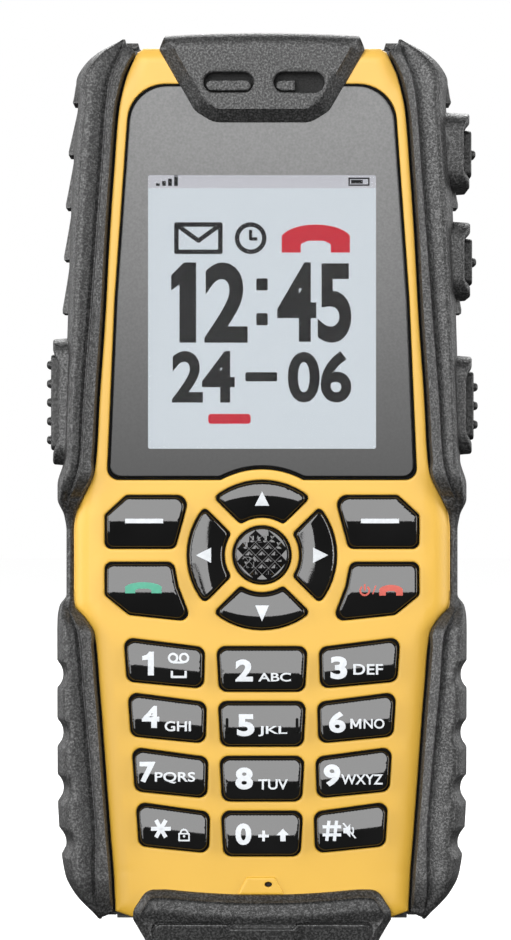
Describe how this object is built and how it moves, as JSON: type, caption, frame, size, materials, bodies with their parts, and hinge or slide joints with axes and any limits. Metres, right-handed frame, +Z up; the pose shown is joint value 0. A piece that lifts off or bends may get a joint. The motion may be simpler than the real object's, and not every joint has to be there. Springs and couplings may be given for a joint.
{
  "type": "rugged mobile phone",
  "caption": "Rugged candybar phone: yellow front cover, black rubber grips and guards, glass-covered display, navigation ring and number keys, side keys, connector cover and battery cover.",
  "frame": {"origin": "centre of the base that the phone stands on, halfway through its depth", "axes": "+Z up from the base to the earpiece, -Y out of the keypad side, +X to the right seen from the keypad side"},
  "size_m": [0.0575, 0.0254, 0.12],
  "materials": {
    "yellow_plastic": "satin",
    "black_rubber": "fine grained",
    "dark_plastic": "fine textured",
    "key_plastic": "gloss with printed legends",
    "side_key_rubber": "satin",
    "lens_glass": "gloss glass printed grey behind",
    "seal_rubber": "matte",
    "display": "pale display",
    "steel": "bright",
    "silicone": "matte",
    "circuit_board": "solder mask",
    "gold": "gold plated",
    "module_plastic": "matte",
    "antenna_carrier": "plated plastic",
    "camera_glass": "gloss",
    "battery_skin": "satin film",
    "tungsten": "sintered"
  },
  "bodies": {
    "housing": {"front_cover": "yellow_plastic", "rear_cover": "dark_plastic", "grip_left": "black_rubber", "grip_right": "black_rubber", "earpiece_guard": "black_rubber", "bottom_bumper": "black_rubber", "display_lens": "lens_glass", "lens_gasket": "seal_rubber", "lcd_panel": "display", "lcd_frame": "steel", "keypad_mat": "silicone", "dome_sheet": "steel", "main_board": "circuit_board", "shield_cans": "steel", "housing_screws": "steel", "earpiece": "module_plastic", "loudspeaker": "module_plastic", "speaker_grille": "dark_plastic", "microphone": "steel", "motor_can": "steel", "antenna": "antenna_carrier", "usb_socket": "steel", "audio_socket": "module_plastic", "housing_gasket": "silicone", "camera_module": "module_plastic", "camera_window": "camera_glass", "sim_holder": "steel", "battery_contacts": "gold", "side_key_boards": "circuit_board"},
    "key_soft_left": {"key_soft_left": "key_plastic"},
    "key_soft_right": {"key_soft_right": "key_plastic"},
    "key_call": {"key_call": "key_plastic"},
    "key_end": {"key_end": "key_plastic"},
    "key_up": {"key_up": "key_plastic"},
    "key_down": {"key_down": "key_plastic"},
    "key_left": {"key_left": "key_plastic"},
    "key_right": {"key_right": "key_plastic"},
    "key_centre": {"key_centre": "key_plastic"},
    "key_1": {"key_1": "key_plastic"},
    "key_2": {"key_2": "key_plastic"},
    "key_3": {"key_3": "key_plastic"},
    "key_4": {"key_4": "key_plastic"},
    "key_5": {"key_5": "key_plastic"},
    "key_6": {"key_6": "key_plastic"},
    "key_7": {"key_7": "key_plastic"},
    "key_8": {"key_8": "key_plastic"},
    "key_9": {"key_9": "key_plastic"},
    "key_star": {"key_star": "key_plastic"},
    "key_0": {"key_0": "key_plastic"},
    "key_hash": {"key_hash": "key_plastic"},
    "side_key_left": {"side_key_left": "side_key_rubber"},
    "side_key_upper": {"side_key_upper": "side_key_rubber"},
    "side_key_middle": {"side_key_middle": "side_key_rubber"},
    "side_key_lower": {"side_key_lower": "side_key_rubber"},
    "connector_cover": {"connector_cover": "black_rubber"},
    "battery_cover": {"battery_cover": "dark_plastic"},
    "cover_lock_left": {"cover_lock_left": "steel"},
    "cover_lock_right": {"cover_lock_right": "steel"},
    "battery": {"battery": "battery_skin"},
    "motor_weight": {"motor_weight": "tungsten"}
  },
  "joints": [
    {"name": "key_soft_left_press", "type": "slide", "parent": "housing", "child": "key_soft_left", "axis": [0, 1, 0], "range_m": [0, 0.00045], "stiffness_N_per_m": 400, "springref_m": -0.001},
    {"name": "key_soft_right_press", "type": "slide", "parent": "housing", "child": "key_soft_right", "axis": [0, 1, 0], "range_m": [0, 0.00045], "stiffness_N_per_m": 400, "springref_m": -0.001},
    {"name": "key_call_press", "type": "slide", "parent": "housing", "child": "key_call", "axis": [0, 1, 0], "range_m": [0, 0.00045], "stiffness_N_per_m": 400, "springref_m": -0.001},
    {"name": "key_end_press", "type": "slide", "parent": "housing", "child": "key_end", "axis": [0, 1, 0], "range_m": [0, 0.00045], "stiffness_N_per_m": 400, "springref_m": -0.001},
    {"name": "key_up_press", "type": "slide", "parent": "housing", "child": "key_up", "axis": [0, 1, 0], "range_m": [0, 0.00045], "stiffness_N_per_m": 400, "springref_m": -0.001},
    {"name": "key_down_press", "type": "slide", "parent": "housing", "child": "key_down", "axis": [0, 1, 0], "range_m": [0, 0.00045], "stiffness_N_per_m": 400, "springref_m": -0.001},
    {"name": "key_left_press", "type": "slide", "parent": "housing", "child": "key_left", "axis": [0, 1, 0], "range_m": [0, 0.00045], "stiffness_N_per_m": 400, "springref_m": -0.001},
    {"name": "key_right_press", "type": "slide", "parent": "housing", "child": "key_right", "axis": [0, 1, 0], "range_m": [0, 0.00045], "stiffness_N_per_m": 400, "springref_m": -0.001},
    {"name": "key_centre_press", "type": "slide", "parent": "housing", "child": "key_centre", "axis": [0, 1, 0], "range_m": [0, 0.00045], "stiffness_N_per_m": 400, "springref_m": -0.001},
    {"name": "key_1_press", "type": "slide", "parent": "housing", "child": "key_1", "axis": [0, 1, 0], "range_m": [0, 0.00045], "stiffness_N_per_m": 400, "springref_m": -0.001},
    {"name": "key_2_press", "type": "slide", "parent": "housing", "child": "key_2", "axis": [0, 1, 0], "range_m": [0, 0.00045], "stiffness_N_per_m": 400, "springref_m": -0.001},
    {"name": "key_3_press", "type": "slide", "parent": "housing", "child": "key_3", "axis": [0, 1, 0], "range_m": [0, 0.00045], "stiffness_N_per_m": 400, "springref_m": -0.001},
    {"name": "key_4_press", "type": "slide", "parent": "housing", "child": "key_4", "axis": [0, 1, 0], "range_m": [0, 0.00045], "stiffness_N_per_m": 400, "springref_m": -0.001},
    {"name": "key_5_press", "type": "slide", "parent": "housing", "child": "key_5", "axis": [0, 1, 0], "range_m": [0, 0.00045], "stiffness_N_per_m": 400, "springref_m": -0.001},
    {"name": "key_6_press", "type": "slide", "parent": "housing", "child": "key_6", "axis": [0, 1, 0], "range_m": [0, 0.00045], "stiffness_N_per_m": 400, "springref_m": -0.001},
    {"name": "key_7_press", "type": "slide", "parent": "housing", "child": "key_7", "axis": [0, 1, 0], "range_m": [0, 0.00045], "stiffness_N_per_m": 400, "springref_m": -0.001},
    {"name": "key_8_press", "type": "slide", "parent": "housing", "child": "key_8", "axis": [0, 1, 0], "range_m": [0, 0.00045], "stiffness_N_per_m": 400, "springref_m": -0.001},
    {"name": "key_9_press", "type": "slide", "parent": "housing", "child": "key_9", "axis": [0, 1, 0], "range_m": [0, 0.00045], "stiffness_N_per_m": 400, "springref_m": -0.001},
    {"name": "key_star_press", "type": "slide", "parent": "housing", "child": "key_star", "axis": [0, 1, 0], "range_m": [0, 0.00045], "stiffness_N_per_m": 400, "springref_m": -0.001},
    {"name": "key_0_press", "type": "slide", "parent": "housing", "child": "key_0", "axis": [0, 1, 0], "range_m": [0, 0.00045], "stiffness_N_per_m": 400, "springref_m": -0.001},
    {"name": "key_hash_press", "type": "slide", "parent": "housing", "child": "key_hash", "axis": [0, 1, 0], "range_m": [0, 0.00045], "stiffness_N_per_m": 400, "springref_m": -0.001},
    {"name": "side_key_left_press", "type": "slide", "parent": "housing", "child": "side_key_left", "axis": [1, 0, 0], "range_m": [0, 0.0004], "stiffness_N_per_m": 400, "springref_m": -0.001},
    {"name": "side_key_upper_press", "type": "slide", "parent": "housing", "child": "side_key_upper", "axis": [-1, 0, 0], "range_m": [0, 0.0004], "stiffness_N_per_m": 400, "springref_m": -0.001},
    {"name": "side_key_middle_press", "type": "slide", "parent": "housing", "child": "side_key_middle", "axis": [-1, 0, 0], "range_m": [0, 0.0004], "stiffness_N_per_m": 400, "springref_m": -0.001},
    {"name": "side_key_lower_press", "type": "slide", "parent": "housing", "child": "side_key_lower", "axis": [-1, 0, 0], "range_m": [0, 0.0004], "stiffness_N_per_m": 400, "springref_m": -0.001},
    {"name": "connector_cover_hinge", "type": "hinge", "parent": "housing", "child": "connector_cover", "pos_m": [0, 0.0052, 0.00155], "axis": [1, 0, 0], "range_deg": [0, 90]},
    {"name": "battery_cover_lift", "type": "slide", "parent": "housing", "child": "battery_cover", "axis": [0, 1, 0], "range_m": [0, 0.024]},
    {"name": "battery_lift", "type": "slide", "parent": "housing", "child": "battery", "axis": [0, 1, 0], "range_m": [0, 0.0125]},
    {"name": "cover_lock_left_turn", "type": "hinge", "parent": "battery_cover", "child": "cover_lock_left", "pos_m": [-0.011, 0.0115, 0.021], "axis": [0, 1, 0], "range_deg": [0, 90]},
    {"name": "cover_lock_right_turn", "type": "hinge", "parent": "battery_cover", "child": "cover_lock_right", "pos_m": [0.011, 0.0115, 0.021], "axis": [0, 1, 0], "range_deg": [0, 90]},
    {"name": "motor_spin", "type": "hinge", "parent": "housing", "child": "motor_weight", "pos_m": [-0.004, -0.0022, 0.022], "axis": [1, 0, 0], "continuous": true}
  ],
  "couplings": [
    {"joint": "battery_lift", "follows": "battery_cover_lift", "ratio": 0.5}
  ]
}
